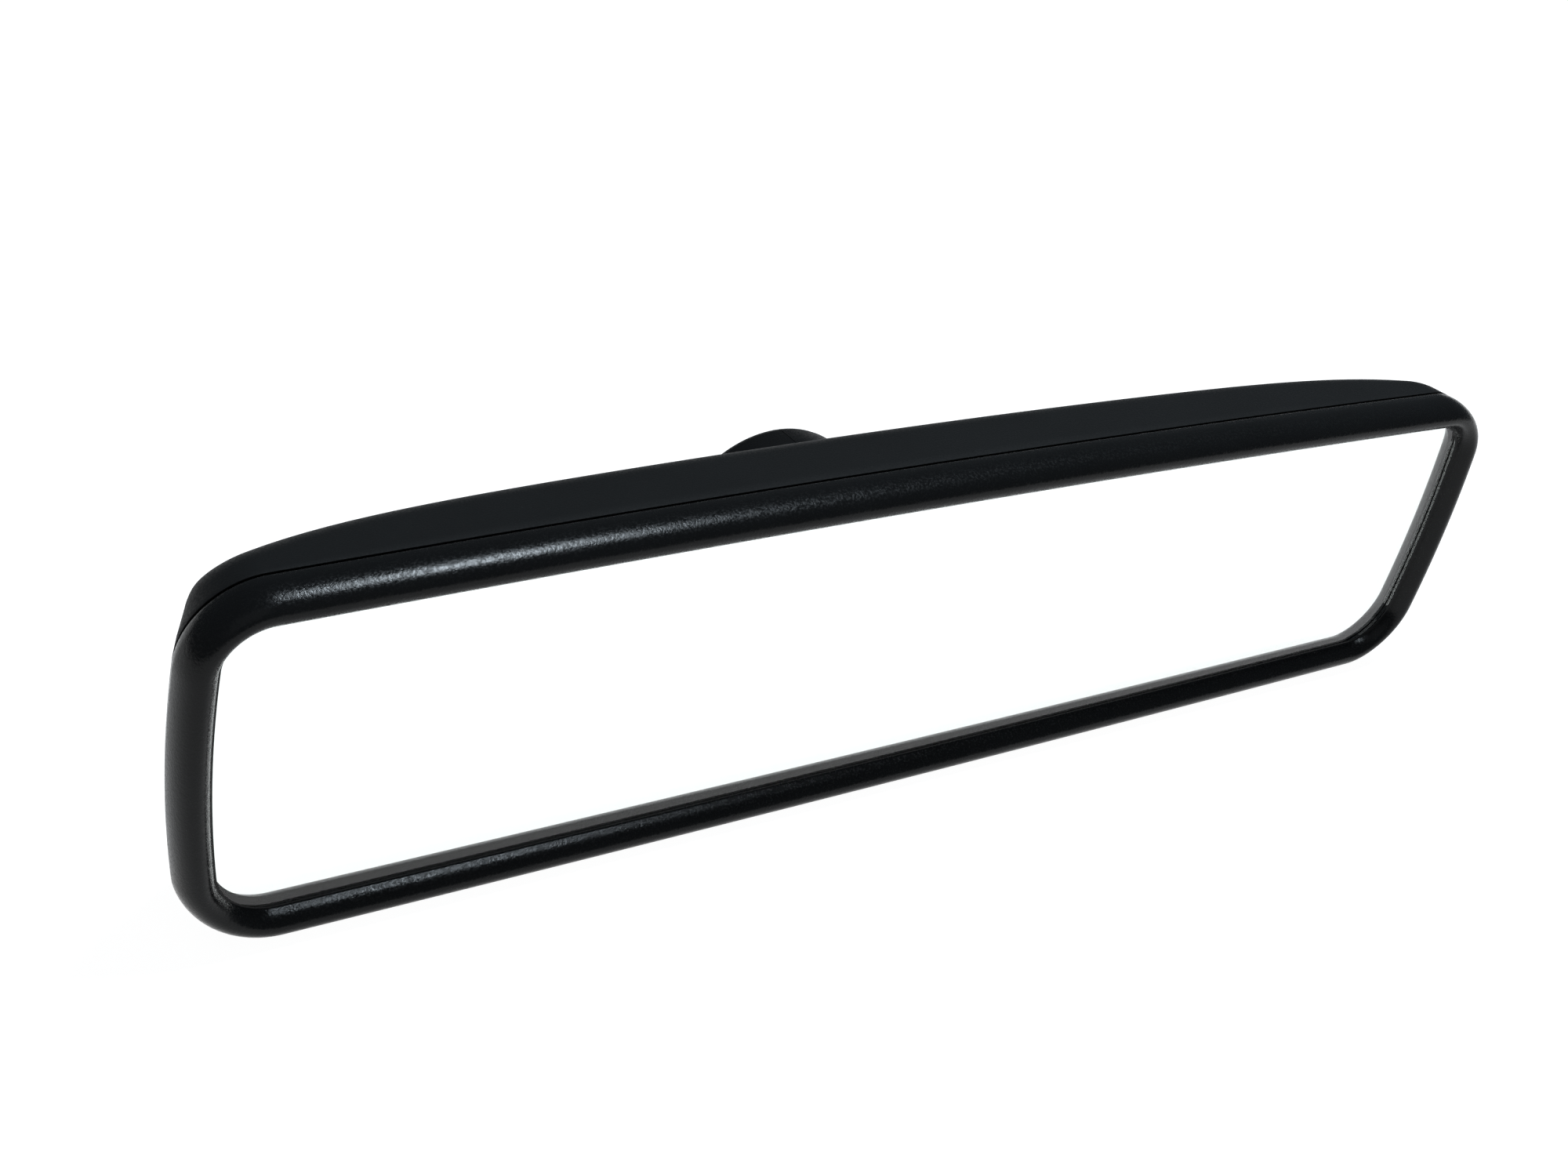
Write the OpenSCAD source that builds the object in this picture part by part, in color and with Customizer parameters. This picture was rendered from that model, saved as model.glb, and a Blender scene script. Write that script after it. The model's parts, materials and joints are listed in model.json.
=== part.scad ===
// Interior rearview mirror: a framed mirror head on a clamped ball joint, a short cast arm
// and a round foot that twists onto a button bonded to the windscreen.
// +Z is up and the mirror faces -Y. The origin is the middle of the foot's flat face.

/* [Head outline] */
// Width of the outline before its sides bow out
head_w = 240; // [200:1:260]
// Height of the outline before its edges bow out
head_h = 58.8; // [54:0.1:70]
// Extra height of the top edge at the middle
top_bow = 1.6; // [0:0.1:4]
// Extra height of the bottom edge at the middle
bottom_bow = 0.7; // [0:0.1:4]
// Extra width of each side at the middle
side_bow = 2.4; // [0:0.1:4]
// Radius of the two top corners
top_corner_r = 11; // [9:0.5:16]
// Radius of the two bottom corners
bottom_corner_r = 13; // [9:0.5:16]

/* [Bezel] */
// Width of the rounded front band
band_w = 5.6; // [5:0.1:8]
// How far the band's crown stands in front of the band's own centre plane
band_front = 4.8; // [3:0.1:6]
// From the band's centre plane back to the parting line
band_back = 1.4; // [1:0.1:3]
// From the band's centre plane forward to the front of the glass
glass_front = 2.2; // [1.5:0.1:3]

/* [Rear shell] */
// Thickness of the moulded walls
wall_t = 1.7; // [1.4:0.1:2]
// Gap left by the parting line
parting_gap = 0.25; // [0.1:0.05:0.5]
// Depth of the top wall's rear edge at the middle
edge_depth = 16.1; // [15:0.1:20]
// How much deeper the back is in the middle than at that edge
pillow_h = 9.2; // [8.5:0.1:11]
// Loss of depth towards the ends, as a curve
end_sweep = 3.5; // [2:0.1:5]
// Further loss of depth close to the ends
end_drop = 8.8; // [3:0.1:9]
// Draft of the long walls in degrees
long_draft = 5; // [3:1:8]
// Draft of the end walls in degrees, where they start
end_draft = 11; // [5:1:15]
// How fast the end walls curl in with depth, per millimetre
end_curl = 0.038; // [0.02:0.002:0.04]
// Radius of the edge between the walls and the back
back_edge_r = 3.5; // [3:0.5:4]
// Radius of the opening for the ball's neck
neck_hole_r = 10.5; // [10:0.1:11]

/* [Ball joint] */
// Radius of the ball
ball_r = 8; // [7.5:0.1:8.2]
// Thickness of each spherical liner
liner_t = 1.45; // [1.3:0.05:1.5]
// Running clearance between the spheres
joint_gap = 0.05; // [0.03:0.01:0.08]
// Radius of the neck behind the ball
neck_r = 3.5; // [3:0.1:3.8]
// From the band's centre plane back to the middle of the ball
ball_y = 18; // [17.5:0.1:18]

/* [Foot] */
// From the band's centre plane back to the foot's flat face
head_setback = 52; // [51:0.5:55]
// How far the foot's middle lies below the ball
foot_drop = 10.5; // [10:0.5:11]
// Radius of the foot casting
foot_r = 17.4; // [17:0.1:17.4]
// Radius of the pocket for the windscreen button
pocket_r = 12.1; // [11:0.1:12.3]
// Depth of that pocket
pocket_depth = 4; // [3.5:0.1:4]
// Radius of the foot cover where it is widest
cover_r = 19.5; // [19.5:0.1:20.5]
// Wall thickness of the foot cover
cover_t = 1.6; // [1.4:0.1:1.6]

/* [Hidden] */
// Curve resolution of the true round shapes
$fn = 96;
// Steps in each outline corner, on each long edge and on each end
CORNER_STEPS = 9;
LONG_STEPS = 18;
END_STEPS = 5;
// Steps along the foot cover's domed front
COVER_STEPS = 6;
// First guess and steps in finding where a wall meets the back
MEET_START = 12;
MEET_STEPS = 24;

half_w = head_w / 2;
half_h = head_h / 2;
shell_y0 = band_back + parting_gap;
pillow_power = 2.6;
end_power = 8;
lean_power = 5;

// Stack of flat parts behind the glass, from front to back
glass_t = 2.2;
film_t = 0.2;
pad_t = 1.0;
carrier_t = 2.5;
film_y = glass_t - glass_front;
pad_y = film_y + film_t;
carrier_y = pad_y + pad_t;
carrier_back = carrier_y + carrier_t;
glass_inset = 3.75;
film_inset = glass_inset + 0.5;
pad_inset = 7;
carrier_inset = 5;
rib_h = 3;
rib_t = 1.6;

// Fasteners
screw_r = 1.5;
screw_fit = 0.05;
screw_head_r = 2.8;
carrier_screw_x = 84;
carrier_screw_z = 7.5;
carrier_screw_sink = 1.4;
socket_screw_pcd = 31.6;

// Ball socket
seat_r = ball_r + joint_gap + liner_t + joint_gap;
liner_r = ball_r + joint_gap + liner_t;
barrel_r = 12.5;
bore_r = seat_r + 0.05;
flange_r = 19;
flange_t = 2.4;
washer_t = 0.8;
spring_h = 2.5;
seat_front = carrier_back + washer_t + spring_h;
seat_len = 5.5;

// Foot stack, measured from the band's centre plane
boss_y = 33;
arm_plate_y = head_setback - 11;
foot_y = head_setback - 8;
collar_y = boss_y - 1.7;
shank_end = boss_y + 6.6;
boss_r = 7;
arm_r = 14.5;
shank_r = 3;
pin_y = boss_y + 2.6;
pin_r = 1;
arm_screw_x = 8;
pocket_floor_y = head_setback - pocket_depth;
screw_sink = 1.7;
spring_ring_r = 14.6;
spring_wire_r = 0.6;
spring_gap_angle = 24;
spring_y = head_setback - 1.4;
cover_front = boss_y + 1;
cover_widest = head_setback - 7;
cover_end = head_setback - 0.6;
cover_mouth_r = 9.2;
cover_rib_y = cover_widest + 1.5;
cover_rib_w = 1;
cover_rib_h = 0.7;
rib_gap = 0.2;

black = [0.09, 0.095, 0.1];
shell_black = [0.13, 0.14, 0.145];
silver = [0.93, 0.94, 0.95];
zinc = [0.62, 0.63, 0.65];
steel = [0.7, 0.71, 0.73];
nylon = [0.86, 0.85, 0.8];
grey = [0.3, 0.31, 0.33];
dark_grey = [0.17, 0.17, 0.18];

// ---------- helpers ----------

// Moves the head's own frame into place: there y is 0 on the band's centre plane
module head_frame() translate([0, -head_setback, foot_drop]) children();

// Stands its children on a plane y = depth with their Z axis pointing backwards
module backwards(depth) translate([0, depth, 0]) rotate([-90, 0, 0]) children();

// The foot's frame: the same depths, centred on the button axis
module foot_frame() translate([0, -head_setback, 0]) children();

// An outline ray: a corner centre, a direction and the corner's radius
function corner(sx, sz, r, a0) = [
    for (i = [0 : CORNER_STEPS])
        [sx * (half_w - r), sz * (half_h - r), a0 + 90 * i / CORNER_STEPS, r]
];
function long_edge(sz, x0, x1, r, a) = [
    for (i = [1 : LONG_STEPS - 1])
        [x0 + (x1 - x0) * i / LONG_STEPS, sz * (half_h - r), a, r]
];
function end_edge(sx, z0, z1, r, a) = [
    for (i = [1 : END_STEPS - 1])
        [sx * (half_w - r), z0 + (z1 - z0) * i / END_STEPS, a, r]
];

top_x = half_w - top_corner_r;
top_z = half_h - top_corner_r;
bottom_x = half_w - bottom_corner_r;
bottom_z = half_h - bottom_corner_r;

// All rays of the outline, anticlockwise as seen from the front
RAYS = concat(
    corner(1, 1, top_corner_r, 0),
    long_edge(1, top_x, -top_x, top_corner_r, 90),
    corner(-1, 1, top_corner_r, 90),
    end_edge(-1, top_z, -bottom_z, top_corner_r, 180),
    corner(-1, -1, bottom_corner_r, 180),
    long_edge(-1, -bottom_x, bottom_x, bottom_corner_r, 270),
    corner(1, -1, bottom_corner_r, 270),
    end_edge(1, -bottom_z, top_z, top_corner_r, 0)
);

// Bows the straight-sided outline out on all four sides
function bowed(x, z) =
    let (bow = z > 0 ? top_bow : bottom_bow)
    [
        x * (1 + side_bow / half_w * (1 - pow(z / half_h, 2))),
        z * (1 + bow / half_h * (1 - pow(x / half_w, 2)))
    ];

// Point of one ray at an inset from the outline
function outline_at(ray, inset) =
    bowed(ray[0] + (ray[3] - inset) * cos(ray[2]), ray[1] + (ray[3] - inset) * sin(ray[2]));

function outline_points(inset) = [for (ray = RAYS) outline_at(ray, inset)];

// Half height of the outline above or below a place on its width
function edge_z(x, sz, inset) =
    sz * (half_h - inset) * (1 + (sz > 0 ? top_bow : bottom_bow) / half_h * (1 - pow(x / half_w, 2)));

// A closed solid from a loop of closed rings
module ring_loop(rings) {
    n = len(rings[0]);
    m = len(rings);
    polyhedron(
        points = [for (ring = rings) each ring],
        faces = [
            for (i = [0 : m - 1], j = [0 : n - 1])
                let (
                    a = i * n + j,
                    b = i * n + (j + 1) % n,
                    c = ((i + 1) % m) * n + (j + 1) % n,
                    d = ((i + 1) % m) * n + j
                )
                each [[a, c, b], [a, d, c]]
        ]
    );
}

// A flat plate with the head's outline
module plate(inset, depth, thickness) {
    translate([0, depth + thickness, 0])
        rotate([90, 0, 0])
            linear_extrude(thickness)
                polygon(outline_points(inset));
}

module places(xs, zs) {
    for (x = xs, z = zs)
        translate([x, 0, z])
            children();
}

// A pan-head screw: the head's seat is at depth 0 and the shank runs backwards
module screw(head_h, length, head_r = screw_head_r) {
    slot_w = 0.7;
    slot_len = 1.2 * head_r;
    difference() {
        union() {
            backwards(-head_h) cylinder(r = head_r, h = head_h);
            backwards(0) cylinder(r = screw_r, h = length);
        }
        for (turn = [0, 90])
            backwards(-head_h - 0.1)
                rotate(turn)
                    translate([-slot_len / 2, -slot_w / 2, 0])
                        cube([slot_len, slot_w, 0.6 * head_h]);
    }
}

// ---------- head: frame and shell ----------

// Bezel section as [inset, depth], from the parting line round the front to the glass pocket
function bezel_section() =
    let (
        half_band = band_w / 2,
        last = 180 - asin(glass_front / band_front),
        steps = 11,
        pocket_gap = 0.15,
        tongue_len = 1.2,
        tongue_gap = 1.2
    )
    concat(
        [[0, band_back]],
        [
            for (i = [0 : steps])
                let (a = last * i / steps)
                [half_band * (1 - cos(a)), -band_front * sin(a)]
        ],
        [
            [glass_inset - pocket_gap, -glass_front],
            [glass_inset - pocket_gap, band_back + tongue_len],
            [wall_t + tongue_gap, band_back + tongue_len],
            [wall_t + tongue_gap, band_back]
        ]
    );

module bezel() {
    hook_x = [-90, -55, -20, 20, 55, 90];
    hook_w = 8;
    hook_len = 5;
    hook_t = 1;
    color(black) head_frame() {
        ring_loop([
            for (p = bezel_section())
                [
                    for (ray = RAYS)
                        let (q = leaned(ray, p[0], p[0] == 0 ? max(p[1], 0) : 0))
                        [q[0], p[1], q[1]]
                ]
        ]);
        // Snap hooks that reach into the shell
        for (x = hook_x, side = [-1, 1])
            let (middle = edge_z(x, side, glass_inset - 0.1))
            translate([x - hook_w / 2, band_back + 0.8, middle - hook_t / 2])
                cube([hook_w, hook_len, hook_t]);
    }
}

// Depth of the shell's back at a place on the head
function back_at(x, z) =
    edge_depth
    + pillow_h * (1 - pow(min(1.2, abs(z) / half_h), pillow_power))
    - end_sweep * pow(x / half_w, 2)
    - end_drop * pow(abs(x) / half_w, end_power);

// Point of the outline after its wall has leaned in: a steady draft, and a curl near the ends
function leaned(ray, inset, depth) =
    let (
        end = pow(abs(cos(ray[2])), lean_power),
        draft = tan(long_draft) * (1 - end) + tan(end_draft) * end,
        q = outline_at(ray, inset + draft * depth)
    )
    [q[0] - sign(q[0]) * end_curl * end * depth * depth, q[1]];

// Depth at which a leaning wall meets the back, found by a few averaged steps
function meet(ray, skin, depth, left) =
    left == 0
        ? depth
        : let (q = leaned(ray, skin, depth))
          meet(ray, skin, (depth + back_at(q[0], q[1]) - skin) / 2, left - 1);

// Point on a wall that leans in with depth
function wall_point(ray, skin, depth) =
    let (q = leaned(ray, skin, depth))
    [q[0], depth, q[1]];

// Point on the back, between the rounded edge at q (s = 1) and the neck's opening (s = 0)
function back_point(q, skin, s) =
    let (
        a = atan2(q[1] / half_h, q[0] / half_w),
        x = neck_hole_r * cos(a) * (1 - s) + q[0] * s,
        z = neck_hole_r * sin(a) * (1 - s) + q[1] * s
    )
    [x, back_at(x, z) - skin, z];

// Rings of one skin of the shell, from the parting line to the neck's opening
function skin_rings(skin, edge_r, steps) =
    let (
        deep = [for (ray = RAYS) meet(ray, skin, MEET_START, MEET_STEPS)],
        rim = [for (i = [0 : len(RAYS) - 1]) leaned(RAYS[i], skin + edge_r, deep[i])]
    )
    concat(
        [[for (ray = RAYS) wall_point(ray, skin, shell_y0)]],
        [
            for (k = [0 : steps])
                let (t = k / steps)
                [
                    for (i = [0 : len(RAYS) - 1])
                        let (
                            start = wall_point(RAYS[i], skin, deep[i] - edge_r),
                            knee = wall_point(RAYS[i], skin, deep[i]),
                            end = back_point(rim[i], skin, 1)
                        )
                        pow(1 - t, 2) * start + 2 * t * (1 - t) * knee + t * t * end
                ]
        ],
        [
            for (s = [0.8, 0.55, 0.3, 0.12, 0])
                [for (q = rim) back_point(q, skin, s)]
        ]
    );

function reversed(list) = [for (i = [len(list) - 1 : -1 : 0]) list[i]];

module rear_shell() {
    boss_x = [-carrier_screw_x, carrier_screw_x];
    boss_z = [-carrier_screw_z, carrier_screw_z];
    boss_len = back_at(carrier_screw_x, carrier_screw_z) - 0.6 * wall_t - carrier_back;
    shell_boss_r = 3.2;
    pilot_len = 9;
    color(shell_black) head_frame() difference() {
        union() {
            ring_loop(concat(
                reversed(skin_rings(0, back_edge_r, 5)),
                skin_rings(wall_t, back_edge_r - wall_t, 2)
            ));
            places(boss_x, boss_z)
                backwards(carrier_back)
                    cylinder(r = shell_boss_r, h = boss_len);
        }
        places(boss_x, boss_z)
            backwards(carrier_back - 1)
                cylinder(r = screw_r + screw_fit, h = pilot_len);
    }
}

// ---------- head: glass and carrier ----------

module mirror_glass() color(silver) head_frame() plate(glass_inset, -glass_front, glass_t);

module backing_film() color(grey) head_frame() plate(film_inset, film_y, film_t);

module glass_pad() color(dark_grey) head_frame() plate(pad_inset, pad_y, pad_t);

module carrier_plate() {
    window = [44, 30];
    window_x = 50;
    window_r = 5;
    rib_inset = carrier_inset + 2.3;
    color(dark_grey) head_frame() difference() {
        union() {
            plate(carrier_inset, carrier_y, carrier_t);
            // Stiffening rib round the edge
            difference() {
                plate(rib_inset, carrier_back, rib_h);
                plate(rib_inset + rib_t, carrier_back - 1, rib_h + 2);
            }
        }
        // Two lightening windows
        for (side = [-1, 1])
            translate([side * window_x, carrier_y - 1, 0])
                rotate([-90, 0, 0]) {
                    cube([window[0], window[1] - 2 * window_r, 3 * carrier_t], center = true);
                    cube([window[0] - 2 * window_r, window[1], 3 * carrier_t], center = true);
                    for (x = [-1, 1], z = [-1, 1])
                        translate([x * (window[0] / 2 - window_r), z * (window[1] / 2 - window_r), 0])
                            cylinder(r = window_r, h = 3 * carrier_t, center = true);
                }
        // Carrier screws: through hole and counterbore
        places([-carrier_screw_x, carrier_screw_x], [-carrier_screw_z, carrier_screw_z]) {
            backwards(carrier_y - 1) cylinder(r = screw_r + screw_fit, h = carrier_t + 2);
            backwards(carrier_y - 1) cylinder(r = screw_head_r + 0.2, h = carrier_screw_sink + 1);
        }
        // Socket screws
        for (turn = [45 : 90 : 315])
            backwards(carrier_y - 1)
                rotate(turn)
                    translate([socket_screw_pcd / 2, 0, 0])
                        cylinder(r = screw_r + screw_fit, h = carrier_t + 2);
    }
}

module carrier_screws() {
    pan_h = 1.2;
    length = 8.5;
    color(steel) head_frame()
        places([-carrier_screw_x, carrier_screw_x], [-carrier_screw_z, carrier_screw_z])
            translate([0, carrier_y + carrier_screw_sink, 0])
                screw(pan_h, length);
}

// ---------- ball joint ----------

module socket_housing() {
    taper_y = ball_y + 2.6;
    lip_y = ball_y + 5.4;
    lip_r = 8.6;
    color(shell_black) head_frame() difference() {
        union() {
            backwards(carrier_back) cylinder(r = flange_r, h = flange_t);
            backwards(carrier_back) cylinder(r = barrel_r, h = taper_y - carrier_back);
            backwards(taper_y) cylinder(r1 = barrel_r, r2 = lip_r, h = lip_y - taper_y);
        }
        backwards(carrier_back - 1) cylinder(r = bore_r, h = ball_y - carrier_back + 1);
        translate([0, ball_y, 0]) rotate([-90, 0, 0]) sphere(r = seat_r);
        for (turn = [45 : 90 : 315])
            backwards(carrier_back - 1)
                rotate(turn)
                    translate([socket_screw_pcd / 2, 0, 0])
                        cylinder(r = screw_r + screw_fit, h = flange_t + 2);
    }
}

module socket_screws() {
    pan_h = 1.5;
    pan_r = 2.4;
    tip_gap = 0.3;
    color(steel) head_frame()
        for (turn = [45 : 90 : 315])
            translate([
                socket_screw_pcd / 2 * cos(turn),
                carrier_back + flange_t,
                socket_screw_pcd / 2 * sin(turn)
            ])
                mirror([0, 1, 0])
                    screw(pan_h, flange_t + carrier_t - tip_gap, pan_r);
}

module thrust_washer() {
    outer_r = 9.2;
    inner_r = 3.2;
    color(steel) head_frame() difference() {
        backwards(carrier_back) cylinder(r = outer_r, h = washer_t);
        backwards(carrier_back - 1) cylinder(r = inner_r, h = washer_t + 2);
    }
}

// Three disc springs, stacked edge to edge
module clamp_spring() {
    disc_t = 0.45;
    inner_r = 4.2;
    outer_r = 8.8;
    edge_gap = 0.03;
    lift = spring_h / 3 - disc_t - edge_gap;
    color(steel) head_frame()
        for (i = [0 : 2])
            backwards(carrier_back + washer_t + i * spring_h / 3)
                rotate_extrude()
                    polygon(
                        i % 2 == 0
                            ? [[inner_r, 0], [outer_r, lift], [outer_r, lift + disc_t], [inner_r, disc_t]]
                            : [[inner_r, lift], [outer_r, 0], [outer_r, disc_t], [inner_r, lift + disc_t]]
                    );
}

module pressure_seat() {
    color(nylon) head_frame() difference() {
        backwards(seat_front) cylinder(r = liner_r, h = seat_len);
        translate([0, ball_y, 0]) rotate([-90, 0, 0]) sphere(r = seat_r);
    }
}

// A spherical shell that fits between ball and socket
module liner_sphere() {
    translate([0, ball_y, 0])
        rotate([-90, 0, 0])
            difference() {
                sphere(r = liner_r);
                sphere(r = ball_r + joint_gap);
            }
}

// Liner at the socket floor: it ends in front of the ball's middle
module front_liner() {
    rim = 1.2;
    color(nylon) head_frame() difference() {
        liner_sphere();
        backwards(ball_y - rim) cylinder(r = liner_r + 1, h = 2 * liner_r);
    }
}

// Liner at the socket mouth: a band behind the ball's middle
module rear_liner() {
    rim = 1.8;
    mouth = 4.6;
    color(nylon) head_frame() difference() {
        liner_sphere();
        backwards(ball_y + rim - 2 * liner_r) cylinder(r = liner_r + 1, h = 2 * liner_r);
        backwards(ball_y + mouth) cylinder(r = liner_r + 1, h = liner_r);
    }
}

module ball_stud() {
    collar_r = 5;
    color(steel) head_frame() difference() {
        union() {
            translate([0, ball_y, 0]) rotate([-90, 0, 0]) sphere(r = ball_r);
            backwards(ball_y) cylinder(r = neck_r, h = collar_y - ball_y + 0.5);
            backwards(collar_y) cylinder(r = collar_r, h = boss_y - collar_y);
            backwards(boss_y - 0.5) cylinder(r = shank_r, h = shank_end - boss_y + 0.5);
        }
        translate([0, pin_y, 0]) rotate([0, 90, 0]) cylinder(r = pin_r, h = 4 * boss_r, center = true);
    }
}

module stud_pin() {
    color(steel) head_frame()
        translate([0, pin_y, 0])
            rotate([0, 90, 0])
                cylinder(r = pin_r, h = 1.8 * boss_r, center = true);
}

// ---------- arm and foot ----------

module arm() {
    plate_t = foot_y - arm_plate_y;
    rib_w = 5;
    rib_y = boss_y + 3.4;
    color(zinc) difference() {
        union() {
            foot_frame() backwards(arm_plate_y) cylinder(r = arm_r, h = plate_t);
            head_frame() backwards(boss_y) cylinder(r = boss_r, h = foot_y - boss_y);
            // Web that carries the boss down to the plate
            translate([-rib_w / 2, rib_y - head_setback, -2])
                cube([rib_w, foot_y - 1 - rib_y, foot_drop]);
        }
        head_frame() backwards(boss_y - 1) cylinder(r = shank_r, h = shank_end - boss_y + 1);
        head_frame()
            translate([0, pin_y, 0])
                rotate([0, 90, 0])
                    cylinder(r = pin_r, h = 4 * boss_r, center = true);
        foot_frame()
            places([-arm_screw_x, arm_screw_x], [0])
                backwards(arm_plate_y - 1)
                    cylinder(r = screw_r + screw_fit, h = plate_t + 2);
    }
}

module arm_screws() {
    pan_h = 1.6;
    tip_gap = 0.3;
    color(steel) foot_frame()
        places([-arm_screw_x, arm_screw_x], [0])
            translate([0, pocket_floor_y - screw_sink, 0])
                mirror([0, 1, 0])
                    screw(pan_h, pocket_floor_y - screw_sink - arm_plate_y - tip_gap);
}

module foot_body() {
    groove_w = 2 * spring_wire_r + 0.5;
    groove_y = spring_y - spring_wire_r - 0.2;
    rib_y = cover_rib_y;
    color(zinc) foot_frame() difference() {
        backwards(foot_y) cylinder(r = foot_r, h = head_setback - foot_y);
        backwards(pocket_floor_y) cylinder(r = pocket_r, h = pocket_depth + 1);
        // Annular groove for the wire spring, open at the face
        backwards(groove_y) difference() {
            cylinder(r = spring_ring_r + groove_w / 2, h = 4);
            translate([0, 0, -1]) cylinder(r = spring_ring_r - groove_w / 2, h = 6);
        }
        // Groove round the rim that holds the cover's inner rib
        backwards(rib_y - rib_gap) difference() {
            cylinder(r = foot_r + 1, h = cover_rib_w + 2 * rib_gap);
            translate([0, 0, -1]) cylinder(r = foot_r - cover_rib_h, h = 5);
        }
        // Slots through which the spring's two tips press on the button
        for (side = [-1, 1])
            rotate([0, side * spring_gap_angle, 0])
                translate([-groove_w / 2, groove_y, pocket_r - 1])
                    cube([groove_w, 4, spring_ring_r - pocket_r + 1]);
        // Counterbored screw seats
        places([-arm_screw_x, arm_screw_x], [0]) {
            backwards(foot_y - 1) cylinder(r = screw_r + screw_fit, h = 6);
            backwards(pocket_floor_y - screw_sink) cylinder(r = screw_head_r + 0.2, h = 3);
        }
    }
}

// Open wire ring whose two ends turn inward
module retaining_spring() {
    tip_len = spring_ring_r - pocket_r - 0.3;
    color(steel) foot_frame() translate([0, spring_y, 0]) union() {
        rotate([-90, 0, 0])
            rotate([0, 0, -90 + spring_gap_angle])
                rotate_extrude(angle = 360 - 2 * spring_gap_angle)
                    translate([spring_ring_r, 0])
                        circle(r = spring_wire_r, $fn = 24);
        for (side = [-1, 1])
            rotate([0, side * spring_gap_angle, 0])
                translate([0, 0, spring_ring_r - tip_len])
                    cylinder(r = spring_wire_r, h = tip_len, $fn = 24);
    }
}

// The cover's domed front as [depth, radius, drop of its centre], from the mouth to its widest ring
function cover_dome(skin) = [
    for (i = [0 : COVER_STEPS])
        let (
            a = 90 * i / COVER_STEPS,
            deep = i == 0 ? 0 : skin * cos(a)
        )
        [
            cover_front + (cover_widest - cover_front) * (1 - cos(a)) + deep,
            cover_mouth_r + (cover_r - cover_mouth_r) * sin(a) - skin,
            foot_drop * sin(a)
        ]
];

// Closed section of the cover: out from the rim to the mouth, and back along the inside
function cover_section() =
    let (
        inner = cover_r - cover_t,
        crest = foot_r - cover_rib_h + rib_gap
    )
    concat(
        [
            [cover_end, inner, foot_drop],
            [cover_end, cover_r - 1, foot_drop],
            [cover_end - 0.3, cover_r - 0.65, foot_drop],
            [cover_end - 1.2, cover_r - 0.35, foot_drop]
        ],
        reversed(cover_dome(0)),
        cover_dome(cover_t),
        [
            [cover_rib_y, inner, foot_drop],
            [cover_rib_y, crest, foot_drop],
            [cover_rib_y + cover_rib_w, crest, foot_drop],
            [cover_rib_y + cover_rib_w, inner, foot_drop]
        ]
    );

// One half of the cover, on the side of +X or -X, with its seam on the middle plane
module cover_half(side) {
    seam = 0.06;
    steps = 14;
    rings = cover_section();
    m = len(rings);
    points = [
        for (j = [0 : steps])
            let (a = -90 + 180 * j / steps)
            each [
                for (p = rings)
                    [side * max(seam, p[1] * cos(a)), p[0], p[1] * sin(a) - p[2]]
            ]
    ];
    quads = [
        for (j = [0 : steps - 1], i = [0 : m - 1])
            let (
                a = j * m + i,
                b = j * m + (i + 1) % m,
                c = (j + 1) * m + (i + 1) % m,
                d = (j + 1) * m + i
            )
            each (side > 0 ? [[a, b, c], [a, c, d]] : [[a, c, b], [a, d, c]])
    ];
    first = [for (i = [0 : m - 1]) i];
    last = [for (i = [0 : m - 1]) steps * m + i];
    ends = side > 0 ? [reversed(first), last] : [first, reversed(last)];
    head_frame() polyhedron(points = points, faces = concat(quads, ends));
}

module cover_left() color(black) cover_half(-1);

module cover_right() color(black) cover_half(1);

bezel();
rear_shell();
mirror_glass();
backing_film();
glass_pad();
carrier_plate();
carrier_screws();
socket_housing();
socket_screws();
thrust_washer();
clamp_spring();
pressure_seat();
front_liner();
rear_liner();
ball_stud();
stud_pin();
arm();
arm_screws();
foot_body();
retaining_spring();
cover_left();
cover_right();
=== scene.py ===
"""Interior rearview mirror: smooth skins, materials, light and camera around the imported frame."""
import json
import math

import bmesh
import bpy
import numpy as np
from mathutils import Matrix, Vector


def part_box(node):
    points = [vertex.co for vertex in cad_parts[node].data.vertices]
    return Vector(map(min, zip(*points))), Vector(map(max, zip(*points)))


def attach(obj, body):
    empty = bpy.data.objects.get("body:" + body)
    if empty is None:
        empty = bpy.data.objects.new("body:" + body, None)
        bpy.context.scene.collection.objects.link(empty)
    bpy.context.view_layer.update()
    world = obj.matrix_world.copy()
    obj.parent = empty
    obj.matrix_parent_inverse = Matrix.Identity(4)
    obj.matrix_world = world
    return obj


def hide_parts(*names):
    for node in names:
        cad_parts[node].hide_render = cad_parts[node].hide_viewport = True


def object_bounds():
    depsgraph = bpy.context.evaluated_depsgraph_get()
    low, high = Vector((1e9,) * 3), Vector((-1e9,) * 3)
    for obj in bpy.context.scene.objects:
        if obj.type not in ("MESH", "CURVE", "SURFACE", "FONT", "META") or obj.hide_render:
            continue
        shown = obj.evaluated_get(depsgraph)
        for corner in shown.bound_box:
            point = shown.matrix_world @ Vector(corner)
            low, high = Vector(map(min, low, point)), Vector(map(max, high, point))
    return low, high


MM = 0.001
COOL_LIGHT = (0.81, 0.915, 1.0)

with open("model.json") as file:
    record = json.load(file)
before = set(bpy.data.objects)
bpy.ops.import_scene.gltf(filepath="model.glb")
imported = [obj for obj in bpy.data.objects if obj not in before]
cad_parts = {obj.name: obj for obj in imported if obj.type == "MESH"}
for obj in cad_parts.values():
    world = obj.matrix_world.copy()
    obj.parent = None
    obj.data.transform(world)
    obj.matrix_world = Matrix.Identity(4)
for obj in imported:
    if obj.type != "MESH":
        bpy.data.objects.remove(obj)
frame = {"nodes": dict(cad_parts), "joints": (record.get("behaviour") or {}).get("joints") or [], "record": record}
cad_low, cad_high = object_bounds()

# ---------- driving sizes, in metres, as in the CAD source ----------

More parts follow.
